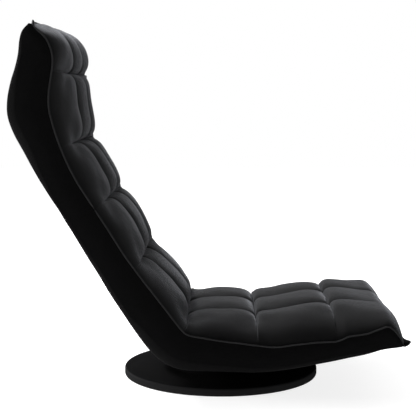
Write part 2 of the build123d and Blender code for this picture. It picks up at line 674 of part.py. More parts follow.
rivet_low = BOSS_TOP - BASE_WALL
rivet_high = DISH_FLOOR + DISH_WALL + FACE_CLEARANCE
flange_radius = KING_RIVET_DIAMETER / 2 + KING_FLANGE_WIDTH
rivet_edge = KING_RIVET_DIAMETER / 2
rivet_profile = lines(
    (KING_BORE_DIAMETER / 2, rivet_low - KING_FLANGE_THICKNESS),
    (flange_radius, rivet_low - KING_FLANGE_THICKNESS),
    (flange_radius, rivet_low),
    (rivet_edge, rivet_low),
    (rivet_edge, rivet_high),
    (flange_radius, rivet_high),
    (flange_radius, rivet_high + KING_FLANGE_THICKNESS),
    (KING_BORE_DIAMETER / 2, rivet_high + KING_FLANGE_THICKNESS),
    (KING_BORE_DIAMETER / 2, rivet_low - KING_FLANGE_THICKNESS),
)
nodes["swivel_king_rivet"] = revolve(Face(Wire(rivet_profile)), Axis.Z)


def cap_screw(shank):
    """A socket screw pointing up, with the underside of its head at the origin."""
    head = Pos(0, 0, -SCREW_HEAD_HEIGHT / 2) * Cylinder(SCREW_HEAD_DIAMETER / 2, SCREW_HEAD_HEIGHT)
    socket = extrude(RegularPolygon(SCREW_SOCKET / 2, 6, major_radius=False), SCREW_SOCKET_DEPTH)
    head -= Pos(0, 0, -SCREW_HEAD_HEIGHT) * socket
    return head + Pos(0, 0, shank / 2) * Cylinder(SCREW_RADIUS, shank)


race_screw = cap_screw(BASE_WALL + RACE_THICKNESS - FACE_CLEARANCE)
lower_screws = [place * Pos(0, 0, rivet_low) * race_screw for place in screw_places]
nodes["swivel_lower_screws"] = Compound([solid for screw in lower_screws for solid in screw.solids()])
nodes["swivel_upper_screws"] = Compound(
    [solid for screw in lower_screws for solid in mirror(screw, Plane.XY.offset(BALL_HEIGHT)).solids()]
)

# Mounting dish
dish_radius = DISH_FLOOR_DIAMETER / 2
cone_radius = dish_radius + DISH_CONE_WIDTH
flange_low = SEAT_UNDERSIDE - DISH_WALL
dish_profile = lines(
    (bearing_bore, DISH_FLOOR),
    (dish_radius, DISH_FLOOR),
    (cone_radius, flange_low),
    (DISH_FLANGE_DIAMETER / 2, flange_low),
    (DISH_FLANGE_DIAMETER / 2, SEAT_UNDERSIDE),
    (cone_radius - DISH_WALL, SEAT_UNDERSIDE),
    (dish_radius - DISH_WALL, DISH_FLOOR + DISH_WALL),
    (bearing_bore, DISH_FLOOR + DISH_WALL),
    (bearing_bore, DISH_FLOOR),
)
dish = revolve(Face(Wire(dish_profile)), Axis.Z)
for place in screw_places:
    dish -= place * Pos(0, 0, DISH_FLOOR) * Cylinder(SCREW_RADIUS + RUNNING_CLEARANCE, 4 * DISH_WALL)
bolt_places = GridLocations(BOLT_SPACING_X, BOLT_SPACING_Y, 2, 2)
bolt_bore = Pos(0, 0, SEAT_UNDERSIDE) * Cylinder(SCREW_RADIUS + RUNNING_CLEARANCE, 4 * DISH_WALL)
bolt_bores = [place * bolt_bore for place in bolt_places]
nodes["seat_mount_dish"] = dish - bolt_bores

bolt_length = DISH_WALL + COVER_THICKNESS + TUBE_WALL + NUT_HEIGHT
bolts = [place * Pos(0, 0, flange_low) * cap_screw(bolt_length) for place in bolt_places]
nodes["seat_mount_bolts"] = Compound([solid for bolt in bolts for solid in bolt.solids()])
nut = extrude(RegularPolygon(NUT_WIDTH / 2, 6, major_radius=False) - Circle(SCREW_RADIUS), NUT_HEIGHT)
nuts = [place * Pos(0, 0, BAR_UNDERSIDE + TUBE_WALL) * nut for place in bolt_places]
nodes["seat_mount_nuts"] = Compound([solid for piece in nuts for solid in piece.solids()])

# Seat frame
slope = radians(FRONT_SLOPE)
rail_bend = UNDERSIDE_BEND - (TUBE_RADIUS + COVER_THICKNESS) * tan(slope / 2)


def on_slope(distance):
    """A place on the rail's centre line past the bend, turned to the slope."""
    return Pos(rail_bend, 0, SEAT_RAIL_HEIGHT) * Rot(0, -FRONT_SLOPE, 0) * Pos(distance, 0, 0)


rail_run = SEAT_RAIL_SLOPE_LENGTH * cos(slope)
rail_climb = SEAT_RAIL_SLOPE_LENGTH * sin(slope)
rail_points = [
    (RECLINE_X + SEAT_RAIL_REAR, SEAT_RAIL_HEIGHT),
    (rail_bend, SEAT_RAIL_HEIGHT),
    (rail_bend + rail_run, SEAT_RAIL_HEIGHT + rail_climb),
]
rail_path = FilletPolyline(
    *[in_space(point, RAIL_HALF_SPACING) for point in rail_points], radius=UNDERSIDE_BEND_RADIUS
)
seat_rail = tube(rail_path)
rail_solid = tube(rail_path, 1e-3)
nodes["seat_rail_left"] = seat_rail
nodes["seat_rail_right"] = mirrored(seat_rail)
front_bar = on_slope(FRONT_BAR) * across_tube(RAIL_HALF_SPACING)
nodes["seat_front_bar"] = less(front_bar, [rail_solid])
bar_middle = BAR_UNDERSIDE + CROSS_BAR_HEIGHT / 2
bar_tube = Box(CROSS_BAR_WIDTH, 2 * RAIL_HALF_SPACING, CROSS_BAR_HEIGHT)
bar_tube -= Box(CROSS_BAR_WIDTH - 2 * TUBE_WALL, 2 * RAIL_HALF_SPACING, CROSS_BAR_HEIGHT - 2 * TUBE_WALL)
for name, x in (("front", BOLT_SPACING_X / 2), ("rear", -BOLT_SPACING_X / 2)):
    bar = Pos(x, 0, bar_middle) * bar_tube - bolt_bores
    nodes[f"seat_cross_bar_{name}"] = less(bar, [rail_solid])
strap_places = [Pos(x, 0, SEAT_RAIL_HEIGHT) for x in SEAT_STRAPS_FLAT]
strap_places += [on_slope(distance) for distance in SEAT_STRAPS_SLOPE]
seat_straps = [place * strap(RAIL_HALF_SPACING) for place in strap_places]
nodes["seat_webbing"] = Compound([solid for piece in seat_straps for solid in piece.solids()])

# Recline hinges
recline_cheeks = SEAT_REAR * hinge_cheeks(RECLINE_CHEEK_Y, RECLINE_RAIL_DROP)
recline_ratchet = BACK * hinge_ratchet(
    RECLINE_CHEEK_Y, BACK_RAIL_DEPTH, 90 - BACK_LEAN, CLICKS_TO_UPRIGHT, CLICKS_TO_FLAT
)
recline_pawl = SEAT_REAR * hinge_pawl(RECLINE_CHEEK_Y)
for name, piece in (("cheeks", recline_cheeks), ("ratchet", recline_ratchet), ("pawl", recline_pawl)):
    stem = f"recline_hinge_{name}" if name == "cheeks" else f"recline_{name}"
    nodes[f"{stem}_left"] = piece
    nodes[f"{stem}_right"] = mirrored(piece)
nodes["recline_pivots"] = pair(SEAT_REAR * hinge_pivot(RECLINE_CHEEK_Y))
nodes["recline_pawl_springs"] = pair(SEAT_REAR * pawl_spring(RECLINE_CHEEK_Y))

# Seat cushion
recline_room = SEAT_REAR * hinge_room(RECLINE_CHEEK_Y, RECLINE_RAIL_DROP)
low, bend, hem, front, hollow, top = seat_corners(0.0, 0.0)
seat_seam_line = [hem, front, hollow, top]
seat_seam_radii = [3 * PIPING_RADIUS, HOLLOW_RADIUS]
seat_cord_room = piping(seat_seam_line, seat_seam_radii, SOFT_GAP)
seat_side, seat_panel = cover_panels(seat_outline, no_end, seat_cord_room)
nodes["seat_side_panel_left"] = seat_side
nodes["seat_side_panel_right"] = mirrored(seat_side)
nodes["seat_bottom_panel"] = less(seat_panel, [recline_room]) - bolt_bores
seat_foam = foam_block(seat_outline, no_end)
seat_foam = less(seat_foam, [recline_room, tube(rail_path, CHANNEL_GAP)])
seat_foam -= on_slope(FRONT_BAR) * across_tube(RAIL_HALF_SPACING, CHANNEL_GAP)
bar_room_width = CROSS_BAR_WIDTH + 2 * CHANNEL_GAP
bar_room_height = CROSS_BAR_HEIGHT + 2 * CHANNEL_GAP
bar_room = Box(bar_room_width, 2 * RAIL_HALF_SPACING, bar_room_height)
for x in (BOLT_SPACING_X / 2, -BOLT_SPACING_X / 2):
    seat_foam -= Pos(x, 0, bar_middle) * bar_room
for place in strap_places:
    seat_foam -= place * strap(RAIL_HALF_SPACING, SOFT_GAP)
nodes["seat_foam"] = seat_foam


def over_seat(x, mid, outer, groove):
    return x, seat_seam(x), mid, outer, groove


seat_lip = (SEAT_FRONT + SEAT_LIP[0], SEAT_UNDERSIDE + SEAT_FRONT_RISE + TUFT_ROOT, *SEAT_LIP[1:])
seat_rows = [[over_seat(*cut) for cut in row] for row in SEAT_TUFTS]
seat_quilt = tufted_rows(seat_rows, seat_outline, seat_lip)
nodes["seat_quilt"] = seat_quilt - SEAT_REAR * across(KNUCKLE_RADIUS + SOFT_GAP)
nodes["seat_piping"] = pair(piping(seat_seam_line, seat_seam_radii))
hem_roll = across(HEM_RADIUS, 2 * FOAM_HALF_WIDTH)
hem_x = SEAT_FRONT + SEAT_LIP[0] + SOFT_GAP + HEM_RADIUS
nodes["seat_front_hem"] = Pos(hem_x, 0, SEAT_UNDERSIDE + SEAT_FRONT_RISE + TUFT_ROOT) * hem_roll

# Back frame
back_rail_ends = [(-along, BACK_RAIL_Y, -BACK_RAIL_DEPTH) for along in (BACK_RAIL_LOWER, BACK_RAIL_UPPER)]
back_rail = tube(Line(*back_rail_ends))
back_rail_middle = -(BACK_RAIL_LOWER + BACK_RAIL_UPPER) / 2
back_rail_length = BACK_RAIL_UPPER - BACK_RAIL_LOWER
back_rail_place = Pos(back_rail_middle, BACK_RAIL_Y, -BACK_RAIL_DEPTH) * Rot(0, 90, 0)
back_rail_solid = back_rail_place * Cylinder(TUBE_RADIUS, back_rail_length)
nodes["back_rail_left"] = BACK * back_rail
nodes["back_rail_right"] = BACK * mirrored(back_rail)
for name, distance in (("lower", BACK_BAR_LOWER), ("upper", BACK_BAR_UPPER)):
    bar = Pos(-distance, 0, -BACK_RAIL_DEPTH) * across_tube(BACK_RAIL_Y)
    nodes[f"back_cross_bar_{name}"] = BACK * less(bar, [back_rail_solid])
back_straps = [Pos(-distance, 0, -BACK_RAIL_DEPTH) * strap(BACK_RAIL_Y) for distance in BACK_STRAPS]
nodes["back_webbing"] = Compound([solid for piece in back_straps for solid in (BACK * piece).solids()])

# Headrest hinges
head_cheeks = BACK_TOP * hinge_cheeks(HEAD_CHEEK_Y, BACK_RAIL_DEPTH)
head_ratchet = HEAD * hinge_ratchet(HEAD_CHEEK_Y, HEAD_LOOP_DEPTH, BACK_LEAN, 0, HEAD_CLICKS)
head_pawl = BACK_TOP * hinge_pawl(HEAD_CHEEK_Y)
for name, piece in (("hinge_cheeks", head_cheeks), ("ratchet", head_ratchet), ("pawl", head_pawl)):
    nodes[f"head_{name}_left"] = piece
    nodes[f"head_{name}_right"] = mirrored(piece)
nodes["head_pivots"] = pair(BACK_TOP * hinge_pivot(HEAD_CHEEK_Y))
nodes["head_pawl_springs"] = pair(BACK_TOP * pawl_spring(HEAD_CHEEK_Y))

# Back cushion, in its own frame
head_room = Pos(-BACK_LENGTH, 0, 0) * hinge_room(HEAD_CHEEK_Y, BACK_RAIL_DEPTH)
recline_arm_room = arm_room(RECLINE_CHEEK_Y, BACK_RAIL_DEPTH)
seam_start = -sqrt(CUT_RADIUS**2 - BACK_SEAM**2)
seam_end = -BACK_LENGTH + sqrt(KNUCKLE_RADIUS**2 - BACK_SEAM**2)
back_seam_line = [(seam_start, BACK_SEAM), (seam_end, BACK_SEAM)]
back_cord_room = piping(back_seam_line, gap=SOFT_GAP)
back_side, back_panel = cover_panels(back_outline, hollow_end, back_cord_room)
nodes["back_side_panel_left"] = BACK * back_side
nodes["back_side_panel_right"] = BACK * mirrored(back_side)
nodes["back_rear_panel"] = BACK * less(back_panel, [head_room, recline_arm_room])
back_foam = foam_block(back_outline, hollow_end)
rail_channel = back_rail_place * Cylinder(TUBE_RADIUS + CHANNEL_GAP, back_rail_length + 2 * CHANNEL_GAP)
back_foam = less(back_foam, [head_room, recline_arm_room, rail_channel])
for distance in (BACK_BAR_LOWER, BACK_BAR_UPPER):
    back_foam -= Pos(-distance, 0, -BACK_RAIL_DEPTH) * across_tube(BACK_RAIL_Y, CHANNEL_GAP)
for distance in BACK_STRAPS:
    back_foam -= Pos(-distance, 0, -BACK_RAIL_DEPTH) * strap(BACK_RAIL_Y, SOFT_GAP)
nodes["back_foam"] = BACK * back_foam


def over_back(x, mid, outer, groove):
    return x, BACK_SEAM, mid, outer, groove


back_rows = [[over_back(*cut) for cut in row] for row in BACK_TUFTS]
back_quilt = tufted_rows(back_rows, back_outline)
nodes["back_quilt"] = BACK * (back_quilt - across(CUT_RADIUS))
nodes["back_piping"] = pair(BACK * piping(back_seam_line))

# Headrest frame and cushion, in its own frame
loop_points = [
    (-HEAD_LOOP_LOWER, HEAD_LOOP_Y, -HEAD_LOOP_DEPTH),
    (-HEAD_LOOP_UPPER, HEAD_LOOP_Y, -HEAD_LOOP_DEPTH),
    (-HEAD_LOOP_UPPER, -HEAD_LOOP_Y, -HEAD_LOOP_DEPTH),
    (-HEAD_LOOP_LOWER, -HEAD_LOOP_Y, -HEAD_LOOP_DEPTH),
]
loop_path = FilletPolyline(*loop_points, radius=HEAD_LOOP_RADIUS)
nodes["head_frame_loop"] = HEAD * tube(loop_path)


def head_end(inset):
    return hollow_end(inset, HEAD_REAR_LEAN)


head_arm_room = arm_room(HEAD_CHEEK_Y, HEAD_LOOP_DEPTH)
low, chin, brow, hem, top = head_corners(0.0, 0.0)
head_seam_line = [hem, brow, to_circle(brow, chin, (0.0, 0.0), CUT_RADIUS)]
head_seam_radius = 10 * PIPING_RADIUS
head_cord_room = piping(head_seam_line, head_seam_radius, SOFT_GAP)
head_side, head_panel = cover_panels(head_outline, head_end, head_cord_room)
nodes["head_side_panel_left"] = HEAD * head_side
nodes["head_side_panel_right"] = HEAD * mirrored(head_side)
nodes["head_rear_panel"] = HEAD * less(head_panel, [head_arm_room])
head_foam = less(foam_block(head_outline, head_end), [head_arm_room])
head_foam -= tube(loop_path, CHANNEL_GAP)
nodes["head_foam"] = HEAD * head_foam


def over_brow(x, mid, outer, groove):
    """A cut across the top row, over the slope from the brow to the hem."""
    share = (brow[0] - x) / (brow[0] - hem[0])
    return x, brow[1] + share * (hem[1] - brow[1]), mid, outer, groove


neck_x = HEAD_NECK_TUFT[0]
neck = (neck_x, head_seam(neck_x), *HEAD_NECK_TUFT[1:])
head_lip = (hem[0] - HEAD_LIP[0], hem[1] + TUFT_ROOT, *HEAD_LIP[1:])
head_rows = [[*HEAD_CHIN_TUFT, neck], [neck, *[over_brow(*cut) for cut in HEAD_BROW_TUFT]]]
head_quilt = tufted_rows(head_rows, head_outline, head_lip)
nodes["head_quilt"] = HEAD * (head_quilt - across(CUT_RADIUS))
nodes["head_piping"] = pair(HEAD * piping(head_seam_line, head_seam_radius))
top_x = hem[0] - HEAD_LIP[0] - SOFT_GAP - HEM_RADIUS
nodes["head_top_hem"] = HEAD * Pos(top_x, 0, hem[1] + TUFT_ROOT) * hem_roll

os.makedirs("parts", exist_ok=True)
for name, shape in nodes.items():
    export_step(shape, f"parts/{name}.step")
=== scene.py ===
from math import cos, pi, radians, sin

import bpy
import numpy as np
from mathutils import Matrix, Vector


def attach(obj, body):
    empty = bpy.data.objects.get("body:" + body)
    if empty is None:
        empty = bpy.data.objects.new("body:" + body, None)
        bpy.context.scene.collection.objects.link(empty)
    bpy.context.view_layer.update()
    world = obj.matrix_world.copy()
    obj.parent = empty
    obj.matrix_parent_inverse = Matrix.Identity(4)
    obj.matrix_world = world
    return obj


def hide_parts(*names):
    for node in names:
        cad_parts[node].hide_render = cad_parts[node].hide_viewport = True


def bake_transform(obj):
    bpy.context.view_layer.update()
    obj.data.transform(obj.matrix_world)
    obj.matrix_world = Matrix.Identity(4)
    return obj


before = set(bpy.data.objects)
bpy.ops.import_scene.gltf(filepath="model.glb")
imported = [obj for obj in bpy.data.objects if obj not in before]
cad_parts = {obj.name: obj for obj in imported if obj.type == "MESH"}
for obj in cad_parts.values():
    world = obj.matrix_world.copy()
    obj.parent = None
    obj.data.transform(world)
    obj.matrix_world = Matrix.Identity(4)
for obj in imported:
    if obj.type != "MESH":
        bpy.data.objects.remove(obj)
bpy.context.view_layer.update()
scene = bpy.context.scene
MM = 0.001

# Side view of the cushion in millimetres, from the front hem, back along the seat and up to
# the top hem: the seam between quilt and side panel, then the edge of the panel opposite it
RIBS = MM * np.array((
    (387, 119, 383, 115), (383, 131, 368, 113), (371, 148, 345, 109), (354, 158.5, 322, 102.5),
    (334, 155, 305, 98), (290, 147, 275, 91), (245, 138.5, 240, 83.5), (200, 130.5, 203, 76),
    (155, 121.5, 160, 67.5), (115, 115.5, 118, 61.5), (75, 119, 75, 58.2), (40, 123.5, 35, 58),
    (0, 128.5, -5, 58), (-40, 135, -48, 58), (-62, 139, -80, 59), (-74, 143, -106, 64.5),
    (-82, 150, -128, 77), (-93, 163, -150, 98), (-106, 180, -168, 122), (-124, 204, -186, 149),
    (-143, 229, -205, 178), (-166, 259, -231, 219), (-203, 310, -262, 272), (-235, 361, -294, 325),
    (-267, 411, -325, 377), (-303, 468, -359, 433), (-325, 512, -386, 477), (-341, 553, -412, 523),
    (-353, 592, -436, 567), (-359, 622, -449, 603), (-359, 652, -448.5, 637), (-354, 686, -439.5, 676),
    (-350, 714, -429.5, 707), (-352, 738, -422.5, 734), (-362, 763, -419, 760), (-378, 780, -413, 781),
    (-393, 795, -399, 796),
))

# How far the sewn edge wanders off the fair seam: distance forward of the swivel axis, rise;
# and the height that it fades out below
EDGE_WANDER = MM * np.array((
    (110, 0), (155, -1), (200, -5), (243, -10.5), (256, -9), (270, -4.5), (290, -5.5),
    (311, -6), (334, -1), (354, 1.5), (372, 0),
))
SEAT_TOP = 0.2
SEAT_TOP_FADE = 0.02

# Width of the rounded strip beside the rear and bottom panels, at points on the seam
EDGE_RADII = (
    ((387, 119), 4), ((290, 147), 10), ((75, 119), 12), ((-40, 135), 22), ((-82, 150), 30),
    ((-143, 229), 12), ((-303, 468), 6), ((-325, 512), 11), ((-341, 553), 18), ((-353, 592), 21),
    ((-359, 652), 19), ((-350, 714), 9), ((-393, 795), 4),
)

# Rows of stitching across the quilt: a point on the seam, the way that the quilt stands off
# it there in degrees, and its heights in the middle column, the outer ones and between them
STITCHED_ROWS = (
    ((387, 119), 55, (7, 12, 8)),
    ((245, 138.5), 90, (38, 38, 24)),
    ((79, 118.5), 90, (28, 28, 15)),
    ((-78, 146.5), 60, (2, 2, 0)),
    ((-184, 284), 31, (1, 4, 1)),
    ((-267, 411), 31, (15, 15, 9)),
    ((-337, 540), 17, (8, 10, 4)),
    ((-353, 695), 0, (15, 11, 5)),
    ((-393, 795), 58, (4, 3, 2)),
)

# Rows of tufts between the stitching: where along the row they stand highest, the way that
# they stand off the seam, their heights in the same order, and how full they are on the side
# towards the front hem and on the other
TUFTED_ROWS = (
    (0.80, 105, (51, 50, 32), (1.06, 2.5)),
    (0.68, 90, (57, 56, 34), (2.1, 3.8)),
    (0.53, 88, (41, 42, 25), (2.6, 3.2)),
    (0.33, 33, (36, 31, 18), (2.3, 2.1)),
    (0.44, 31, (41, 37, 21), (2.5, 2.2)),
    (0.52, 30, (46, 41, 23), (2.3, 2.5)),
    (0.42, 3, (47, 44, 29), (2.3, 2.3)),
    (0.36, 9, (28, 27, 12), (2.3, 2.2)),
)
LAST_LOWER_ROW = 5

# Across the quilt: the grooves beside the middle column; where the outer columns stand highest,
# as a share of their width, by rows counted from the front hem; the flanks that go down to the
# seams, how full they are, and how far the rows of stitching fade on them
QUILT_HALF_WIDTH = 0.250
COLUMN_HALF_WIDTH = 0.078
OUTER_CREST = (
    (0.0, 0.36), (0.9, 0.40), (1.6, 0.43), (2.6, 0.37), (3.0, 0.29), (7.0, 0.29), (7.3, 0.55), (8.0, 0.68),
)
FLANK = (0.150, 0.236)
FLANK_FULLNESS = 0.65
FLANK_FADE = 0.7

# The cloth of the quilt: spacing of its points, how sharp its seams are, how far the stitching
# reaches and holds the cloth down, and its small dents, gathers and pits
QUILT_CELL = 0.006
OUTER_COLUMN_CELLS = 1.15
QUILT_THICKNESS = 0.010
QUILT_CREASE = 0.55
STITCH_FADE = (0.090, 0.150)
ROW_HOLD = 0.030
SEAM_HOLD = 0.040
EDGE_WANDER_START = 0.12
LEAN_SPAN = 9
ON_LINE = 1e-6
DENT = 0.0006
WIDE_DENTS = ((47, 31, 0.0), (23, -39, 1.1))
FINE_DENTS = ((83, -61, 2.0), (37, 71, 0.0))
FINE_DENT_SHARE = 0.6
PUCKER = 0.0004
PUCKER_REACH = 0.011
PUCKER_SPACING = 0.023
PUCKER_DRIFT = (2.5, 31)
GROOVE_PACE = 3
PITS = MM * np.array((0, 7, 11, 4, 5, 5, 6, 5, 0))
PIT_RADIUS = 0.0120

# Where the filling may push the quilt out: from these shares of the front row on, and less on
# the flanks; the frames of the simulation, and how often its moves are evened
FREE_FROM_HEM = (0.3, 1.0)
FLANK_HOLD = 0.75
FLANK_HOLD_REACH = (0.085, 0.240)
SWELL_FRAMES = 20
EVENING_PASSES = 3

# Side, bottom and rear panels, piping and hems
COVER_HALF_WIDTH = 0.252
PANEL_CELL = 0.007
PANEL_THICKNESS = 0.002
PANEL_CREASE = 0.6
# How much of the cloth's painted crown highlight the panels get
PANEL_CROWN_HIGHLIGHT = 0.3
SIDE_POINTS = 14
TURN_POINTS = 8
FLAT_POINTS = 46
SIDE_BULGE = 0.0025
FULL_BULGE_DEPTH = 0.05
LARGEST_ROUNDING = 0.8
SEAM_TURN = radians(32)
PIPING_HALF_WIDTH = 0.2525
PIPING_RADIUS = 0.0017
PIPING_STEP = 0.005
PIPING_INSET = 0.002
ROLL_POINTS = 13
# How much of the cloth's painted crown highlight the rolls get
ROLL_CROWN_HIGHLIGHT = 0.8
ROLL_TIP_START = 0.75
ROLL_SHOULDER = 0.75
ROLL_END = 0.05
HEM_POINTS = 141
HEM_TIP_START = 0.215
STRAP_EDGE = 0.0006
SMOOTH_ANGLE = radians(60)
MERGE_DISTANCE = 0.00002

# Hinges that the covers bend across: the pivot, the way along the cover there, and how far
# the bend reaches before and after the pivot
RECLINE_PIVOT = np.array((-0.100, 0.0, 0.114))
RECLINE_FOLD = np.array((-0.871, 0.0, 0.490))
RECLINE_REACH = (0.040, 0.040)
HEAD_PIVOT = np.array((-0.396219, 0.0, 0.602155))
HEAD_FOLD = np.array((-0.269, 0.0, 0.963))
HEAD_REACH = (0.060, 0.010)


# Curves in the side view

def drawn_through(knots, fine=40):
    """Closely spaced points on a smooth curve through the knots."""
    ends = np.vstack([2 * knots[0] - knots[1], knots, 2 * knots[-1] - knots[-2]])
    place = np.linspace(0, len(knots) - 1, fine * (len(knots) - 1) + 1)
    index = np.minimum(place.astype(int), len(knots) - 2)
    share = (place - index)[:, None]
    a, b, c, d = (ends[index + step] for step in range(4))
    cubic = 3 * (b - c) + d - a
    square = 2 * a - 5 * b + 4 * c - d
    return b + share / 2 * (c - a + share * (square + share * cubic))


PROFILE = drawn_through(RIBS)
ALONG = np.r_[0, np.cumsum(np.hypot(*np.diff(PROFILE[:, :2], axis=0).T))]


def profile_at(along):
    """The seam and the opposite edge, at distances along the seam from the front hem."""
    return np.stack([np.interp(along, ALONG, column) for column in PROFILE.T], -1)


def nearest_along(point):
    """The distance along the seam to the place nearest to a point of the side view."""
    offset = PROFILE[:, :2] - MM * np.array(point)
    return ALONG[np.argmin(np.hypot(*offset.T))]


BORDERS = np.array([nearest_along(point) for point, lean, heights in STITCHED_ROWS])


def edge_wander(seam):
    """The rise of the sewn edge over the fair seam, on the seat only."""
    rise = np.interp(seam[..., 0], *EDGE_WANDER.T, left=0.0, right=0.0)
    on_seat = np.clip((SEAT_TOP - seam[..., 1]) / SEAT_TOP_FADE, 0, 1)
    return rise * on_seat


# Meshes

def active(obj):
    bpy.ops.object.select_all(action="DESELECT")
    obj.select_set(True)
    bpy.context.view_layer.objects.active = obj


def apply_modifiers(obj):
    active(obj)
    for modifier in list(obj.modifiers):
        bpy.ops.object.modifier_apply(modifier=modifier.name)
    bpy.ops.object.shade_smooth_by_angle(angle=SMOOTH_ANGLE)


def cloth_grid(name, points, pattern):
    """A sheet of quads through a grid of points, with lengths on the cloth as its UV map."""
    rows, columns = points.shape[:2]
    index = np.arange(rows * columns).reshape(rows, columns)
    corners = (index[:-1, :-1], index[:-1, 1:], index[1:, 1:], index[1:, :-1])
    mesh = bpy.data.meshes.new(name)
    mesh.from_pydata(points.reshape(-1, 3).tolist(), [], np.stack(corners, -1).reshape(-1, 4).tolist())
    layer = mesh.uv_layers.new(name="cloth_lengths")
    owners = np.zeros(len(mesh.loops), int)
    mesh.loops.foreach_get("vertex_index", owners)
    layer.data.foreach_set("uv", pattern.reshape(-1, 2)[owners].ravel())
    obj = bpy.data.objects.new(name, mesh)
    scene.collection.objects.link(obj)
    mesh.shade_smooth()
    return obj


def places(obj):
    spots = np.zeros(3 * len(obj.data.vertices))
    obj.data.vertices.foreach_get("co", spots)
    return spots.reshape(-1, 3)


def set_places(obj, spots):
    obj.data.vertices.foreach_set("co", spots.ravel())
    obj.data.update()


def lengths_over(points):
    """Lengths on the cloth down its middle and across each row."""
    down = np.linalg.norm(np.diff(points[:, points.shape[1] // 2], axis=0), axis=-1)
    over = np.linalg.norm(np.diff(points, axis=1), axis=-1)
    across = np.pad(np.cumsum(over, axis=1), ((0, 0), (1, 0)))
    across = across - across[:, -1:] / 2
    down = np.broadcast_to(np.r_[0, np.cumsum(down)][:, None], across.shape)
    return np.stack([down, across], -1)


def set_point_values(obj, name, values):
    attribute = obj.data.attributes.new(name, "FLOAT", "POINT")
    attribute.data.foreach_set("value", np.asarray(values, np.float32).ravel())


def hold_creases(obj, held, strength):
    """Keeps sewn lines sharp under the subdivision."""
    ends = np.zeros(2 * len(obj.data.edges), int)
    obj.data.edges.foreach_get("vertices", ends)
    least = held.ravel()[ends.reshape(-1, 2)].min(axis=1)
    attribute = obj.data.attributes.new("crease_edge", "FLOAT", "EDGE")
    attribute.data.foreach_set("value", (strength * least).astype(np.float32))


def swell(obj, held, sewn, free, pressure, spare, cap):
    """Lets the filling push the cloth out where it is free, no further than the cap."""
    group = obj.vertex_groups.new(name="sewn")
    group.add(np.flatnonzero(held.ravel()).tolist(), 1.0, "REPLACE")
    start = places(obj)
    cloth = obj.modifiers.new("cloth", "CLOTH")
    settings = cloth.settings
    settings.quality = 6
    settings.mass = 0.3
    settings.tension_stiffness = 25
    settings.compression_stiffness = 25
    settings.shear_stiffness = 8
    settings.bending_stiffness = 0.6
    settings.air_damping = 2
    settings.vertex_group_mass = "sewn"
    settings.use_pressure = True
    settings.uniform_pressure_force = pressure
    settings.shrink_min = -spare
    settings.effector_weights.gravity = 0
    cloth.collision_settings.use_collision = False
    for step in range(SWELL_FRAMES):
        scene.frame_set(step + 1)
    active(obj)
    bpy.ops.object.modifier_apply(modifier="cloth")
    scene.frame_set(1)
    moved = (places(obj) - start).reshape(*sewn.shape, 3)
    far = np.linalg.norm(moved, axis=-1, keepdims=True)
    moved = moved * free[..., None] * cap / (cap + far)
    for passing in range(EVENING_PASSES):
        moved = beside_mean(moved) * (1 - sewn[..., None])
    set_places(obj, start + moved.reshape(-1, 3))
    obj.vertex_groups.clear()


def thicken(obj, thickness):
    """Smooths a sheet of cloth and gives it its thickness inwards."""
    finer = obj.modifiers.new("finer", "SUBSURF")
    finer.levels = 1
    finer.render_levels = 1
    wall = obj.modifiers.new("wall", "SOLIDIFY")
    wall.thickness = thickness
    wall.offset = -1
    apply_modifiers(obj)


def beside_mean(grid):
    """The mean of each point of a grid and its neighbours along the grid's two ways."""
    for axis in (0, 1):
        wide = np.pad(grid, [(1, 1) if way == axis else (0, 0) for way in range(3)], mode="edge")
        before, after = (np.take(wide, range(step, step + grid.shape[axis]), axis) for step in (0, 2))
        grid = grid / 2 + (before + after) / 4
    return grid


# Tufted quilt

def eased(count):
    """Steps from 0 to 1, closest together at both ends, where the cloth dives into a seam."""
    return (1 - np.cos(np.linspace(0, pi, count + 1))) / 2


def crown(share, highest=0.5, fullness=(2.0, 2.0)):
    """A full rounded hump, 0 at both ends and 1 where it stands highest."""
    before = share < highest
    side = np.where(before, (highest - share) / highest, (share - highest) / (1 - highest))
    power = np.where(before, *fullness)
    return (1 - np.clip(side, 0, 1) ** power) ** (1 / power)


def eased_in(value, start, end):
    """A smooth step from 0 at start to 1 at end."""
    share = np.clip((value - start) / (end - start), 0, 1)
    return share * share * (3 - 2 * share)


def row_lines(first, last):
    """The lines of points across rows first to last: each one's row, and its share of that row."""
    lines = []
    for row in range(first, last):
        length = BORDERS[row + 1] - BORDERS[row]
        shares = eased(round(length / QUILT_CELL))
        lines += [(row, share) for share in (shares if row == first else shares[1:])]
    return lines


def across_columns():
    """Places of the points across the quilt, and their shares of the middle column and of an outer one."""
    middle = eased(round(2 * COLUMN_HALF_WIDTH / QUILT_CELL))[1:-1]
    width = QUILT_HALF_WIDTH - COLUMN_HALF_WIDTH
    outer = eased(round(OUTER_COLUMN_CELLS * width / QUILT_CELL))
    outer_y = COLUMN_HALF_WIDTH + width * outer
    y = np.r_[-outer_y[::-1], (2 * middle - 1) * COLUMN_HALF_WIDTH, outer_y]
    return y, middle, outer


def over_columns(heights, middle, outer, place):
    """The height across the quilt: a crowned middle column and two that slope off to the seams."""
    crest, side, between = heights
    in_middle = between + (crest - between) * crown(middle)
    to_groove = between + (side - between) * crown(outer, place)
    to_seam = side * (1 - np.clip((outer - place) / (1 - place), 0, 1) ** 2) ** FLANK_FULLNESS
    in_outer = np.where(outer < place, to_groove, to_seam)
    return np.r_[in_outer[::-1], in_middle, in_outer]


def crossed_waves(waves, along, y):
    """The product of two waves that run over the quilt at their own slants."""
    first, second = (np.sin(down * along + over * y + shift) for down, over, shift in waves)
    return first * second


def dents(along, y):
    """Small swells and hollows in the filling, a few centimetres across."""
    return crossed_waves(WIDE_DENTS, along, y) + FINE_DENT_SHARE * crossed_waves(FINE_DENTS, along, y)


